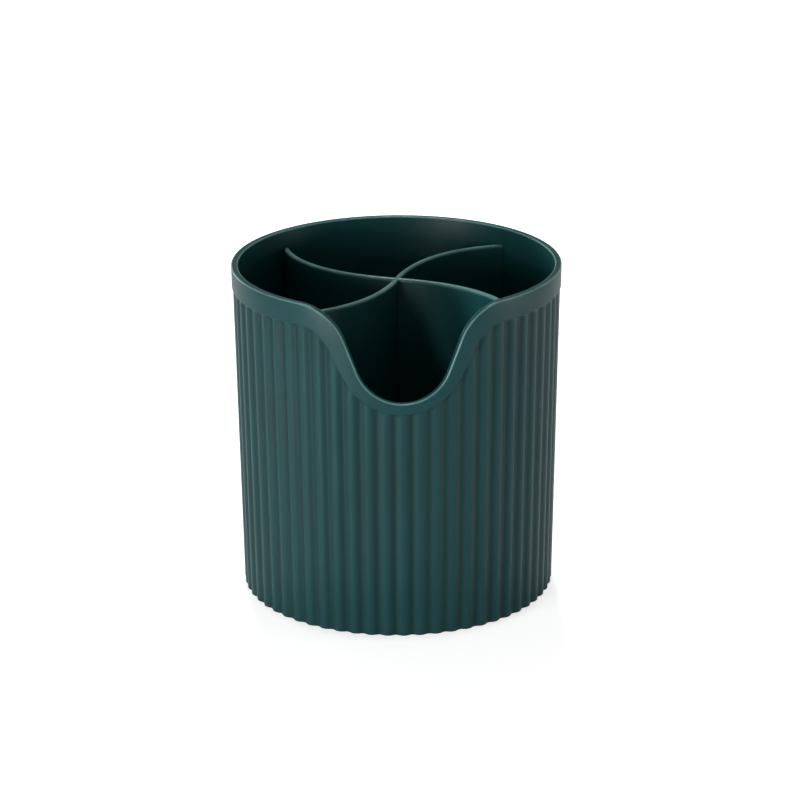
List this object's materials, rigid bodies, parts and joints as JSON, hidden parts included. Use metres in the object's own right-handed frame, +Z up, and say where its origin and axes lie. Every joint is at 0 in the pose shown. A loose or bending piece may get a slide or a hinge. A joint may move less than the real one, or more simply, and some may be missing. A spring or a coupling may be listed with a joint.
{
  "type": "makeup brush holder",
  "caption": "Round fluted cup with a scooped front and a swirled four-way divider, turning on a ball bearing over a low hidden base with rubber pads.",
  "frame": {"origin": "on the table under the middle of the base, on the cup's turning axis", "axes": "+Z up along the turning axis, -Y towards the scoop in the rim, +X to the right of someone facing the scoop"},
  "size_m": [0.12, 0.1194, 0.125],
  "materials": {
    "cup_plastic": "satin dark teal green moulding",
    "divider_plastic": "satin dark teal green moulding",
    "base_plastic": "fine-textured dark teal green moulding",
    "pad_rubber": "matt black",
    "cage_plastic": "natural white nylon",
    "ball_steel": "polished steel",
    "washer_steel": "zinc plated",
    "screw_steel": "zinc plated"
  },
  "bodies": {
    "base": {"base_disc": "base_plastic", "foot_pad_1": "pad_rubber", "foot_pad_2": "pad_rubber", "foot_pad_3": "pad_rubber", "foot_pad_4": "pad_rubber"},
    "cage": {"ball_cage": "cage_plastic", "bearing_ball_01": "ball_steel", "bearing_ball_02": "ball_steel", "bearing_ball_03": "ball_steel", "bearing_ball_04": "ball_steel", "bearing_ball_05": "ball_steel", "bearing_ball_06": "ball_steel", "bearing_ball_07": "ball_steel", "bearing_ball_08": "ball_steel", "bearing_ball_09": "ball_steel", "bearing_ball_10": "ball_steel", "bearing_ball_11": "ball_steel", "bearing_ball_12": "ball_steel"},
    "cup": {"cup_shell": "cup_plastic", "thrust_washer": "washer_steel", "pivot_screw": "screw_steel"},
    "divider": {"divider_insert": "divider_plastic"}
  },
  "joints": [
    {"name": "cup_spin", "type": "hinge", "parent": "base", "child": "cup", "pos_m": [0, 0, 0.0074], "axis": [0, 0, 1], "continuous": true},
    {"name": "cage_spin", "type": "hinge", "parent": "base", "child": "cage", "pos_m": [0, 0, 0.0074], "axis": [0, 0, 1], "continuous": true},
    {"name": "divider_lift", "type": "slide", "parent": "cup", "child": "divider", "axis": [0, 0, 1], "range_m": [0, 0.118]}
  ],
  "couplings": [
    {"joint": "cage_spin", "follows": "cup_spin", "ratio": 0.5}
  ]
}
